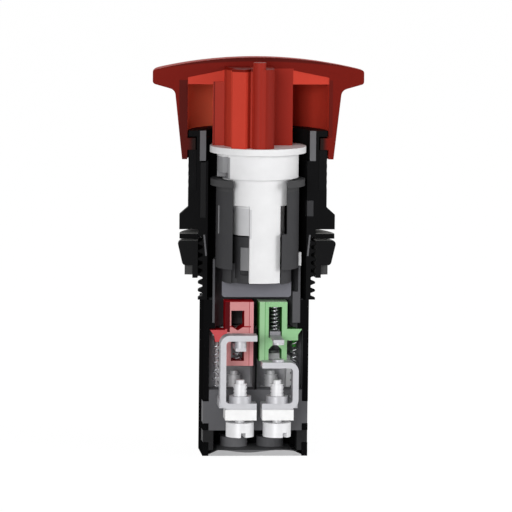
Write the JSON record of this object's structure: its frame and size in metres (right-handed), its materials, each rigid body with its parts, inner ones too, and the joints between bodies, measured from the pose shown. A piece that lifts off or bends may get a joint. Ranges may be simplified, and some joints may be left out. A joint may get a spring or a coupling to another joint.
{
  "type": "pushbutton switch",
  "caption": "Cutaway latching mushroom-head pushbutton for a panel hole, with its latch sleeve, a closed and an open contact, springs and screw terminals.",
  "frame": {"origin": "push axis at the flange's underside, the face that bears on the panel", "axes": "+Z along the push axis towards the operator, +Y towards the kept rear half, +X from the closed contact to the open one"},
  "size_m": [0.04, 0.0294, 0.0759],
  "materials": {
    "head_red": "satin moulded red plastic",
    "sleeve_white": "smooth white plastic",
    "barrel_grey": "matte dark grey plastic",
    "pawl_grey": "matte grey plastic",
    "plate_grey": "matte grey plastic",
    "body_black": "matte black plastic",
    "seal_grey": "grey rubber",
    "lock_grey": "matte dark grey plastic",
    "gasket_black": "black rubber",
    "spring_steel": "drawn spring wire",
    "terminal_steel": "nickel-plated strip",
    "screw_steel": "bright plated steel",
    "contact_silver": "silver-alloy contact",
    "closed_red": "matte red plastic",
    "open_green": "matte green plastic",
    "carrier_grey": "matte grey plastic",
    "cover_grey": "matte light grey plastic"
  },
  "bodies": {
    "housing": {"body_tube": "body_black", "dust_gaiter": "gasket_black", "lip_seal": "seal_grey", "lock_bar": "lock_grey", "locating_key": "pawl_grey", "clip_ring": "seal_grey", "guide_tube": "carrier_grey", "travel_stop": "sleeve_white", "panel_gasket": "gasket_black", "block_housing": "body_black", "terminal_carrier": "carrier_grey", "base_cover": "cover_grey", "screw_guides": "lock_grey", "closed_return_spring": "spring_steel", "open_return_spring": "spring_steel", "fixed_contacts": "contact_silver", "closed_front_bracket": "terminal_steel", "closed_rear_bracket": "terminal_steel", "open_front_bracket": "terminal_steel", "open_rear_bracket": "terminal_steel"},
    "head": {"mushroom_head": "head_red", "latch_sleeve": "sleeve_white"},
    "pusher": {"latch_barrel": "barrel_grey", "latch_pawl": "pawl_grey", "lock_wire": "spring_steel", "trip_spring": "spring_steel", "pusher_plate": "plate_grey"},
    "closed_contact": {"closed_plunger": "closed_red", "closed_bridge": "contact_silver", "closed_contact_spring": "spring_steel"},
    "open_contact": {"open_plunger": "open_green", "open_contact_spring": "spring_steel"},
    "open_bridge_body": {"open_bridge": "contact_silver", "spring_holder": "sleeve_white"},
    "nut": {"locking_nut": "body_black"},
    "closed_front_clamp": {"closed_front_washer": "screw_steel"},
    "closed_front_screw_body": {"closed_front_screw": "screw_steel"},
    "closed_rear_clamp": {"closed_rear_washer": "screw_steel"},
    "closed_rear_screw_body": {"closed_rear_screw": "screw_steel"},
    "open_front_clamp": {"open_front_washer": "screw_steel"},
    "open_front_screw_body": {"open_front_screw": "screw_steel"},
    "open_rear_clamp": {"open_rear_washer": "screw_steel"},
    "open_rear_screw_body": {"open_rear_screw": "screw_steel"}
  },
  "joints": [
    {"name": "push", "type": "slide", "parent": "housing", "child": "pusher", "axis": [0, 0, -1], "range_m": [0, 0.0045], "stiffness_N_per_m": 1500, "springref_m": -0.002, "deforming": ["dust_gaiter"]},
    {"name": "turn_to_release", "type": "hinge", "parent": "pusher", "child": "head", "pos_m": [0, 0, 0], "axis": [0, 0, -1], "range_deg": [0, 30], "stiffness_Nm_per_rad": 0.05, "springref_deg": -11.46},
    {"name": "closed_contact_slide", "type": "slide", "parent": "housing", "child": "closed_contact", "axis": [0, 0, -1], "range_m": [0, 0.0036], "stiffness_N_per_m": 250, "springref_m": -0.002, "deforming": ["closed_return_spring"]},
    {"name": "open_contact_slide", "type": "slide", "parent": "housing", "child": "open_contact", "axis": [0, 0, -1], "range_m": [0, 0.0036], "stiffness_N_per_m": 250, "springref_m": -0.002, "deforming": ["open_return_spring"]},
    {"name": "bridge_overtravel", "type": "slide", "parent": "open_contact", "child": "open_bridge_body", "axis": [0, 0, 1], "range_m": [0, 0.00082], "stiffness_N_per_m": 200, "springref_m": -0.001, "deforming": ["open_contact_spring"]},
    {"name": "nut_turn", "type": "hinge", "parent": "housing", "child": "nut", "pos_m": [0, 0, 0], "axis": [0, 0, 1], "continuous": true},
    {"name": "closed_front_clamp_slide", "type": "slide", "parent": "housing", "child": "closed_front_clamp", "axis": [0, 0, -1], "range_m": [0, 0.0015]},
    {"name": "closed_front_screw_turn", "type": "hinge", "parent": "closed_front_clamp", "child": "closed_front_screw_body", "pos_m": [-0.0035, -0.0068, -0.036], "axis": [0, 0, -1], "range_deg": [0, 772]},
    {"name": "closed_rear_clamp_slide", "type": "slide", "parent": "housing", "child": "closed_rear_clamp", "axis": [0, 0, -1], "range_m": [0, 0.0015]},
    {"name": "closed_rear_screw_turn", "type": "hinge", "parent": "closed_rear_clamp", "child": "closed_rear_screw_body", "pos_m": [-0.0035, 0.0068, -0.036], "axis": [0, 0, -1], "range_deg": [0, 772]},
    {"name": "open_front_clamp_slide", "type": "slide", "parent": "housing", "child": "open_front_clamp", "axis": [0, 0, -1], "range_m": [0, 0.0015]},
    {"name": "open_front_screw_turn", "type": "hinge", "parent": "open_front_clamp", "child": "open_front_screw_body", "pos_m": [0.0035, -0.0068, -0.036], "axis": [0, 0, -1], "range_deg": [0, 772]},
    {"name": "open_rear_clamp_slide", "type": "slide", "parent": "housing", "child": "open_rear_clamp", "axis": [0, 0, -1], "range_m": [0, 0.0015]},
    {"name": "open_rear_screw_turn", "type": "hinge", "parent": "open_rear_clamp", "child": "open_rear_screw_body", "pos_m": [0.0035, 0.0068, -0.036], "axis": [0, 0, -1], "range_deg": [0, 772]}
  ],
  "couplings": [
    {"joint": "closed_contact_slide", "follows": "push", "ratio": 0.8},
    {"joint": "open_contact_slide", "follows": "push", "ratio": 0.8},
    {"joint": "bridge_overtravel", "follows": "push", "ratio": 0.182},
    {"joint": "closed_front_screw_turn", "follows": "closed_front_clamp_slide", "rad_per_m": 8976},
    {"joint": "closed_rear_screw_turn", "follows": "closed_rear_clamp_slide", "rad_per_m": 8976},
    {"joint": "open_front_screw_turn", "follows": "open_front_clamp_slide", "rad_per_m": 8976},
    {"joint": "open_rear_screw_turn", "follows": "open_rear_clamp_slide", "rad_per_m": 8976}
  ]
}
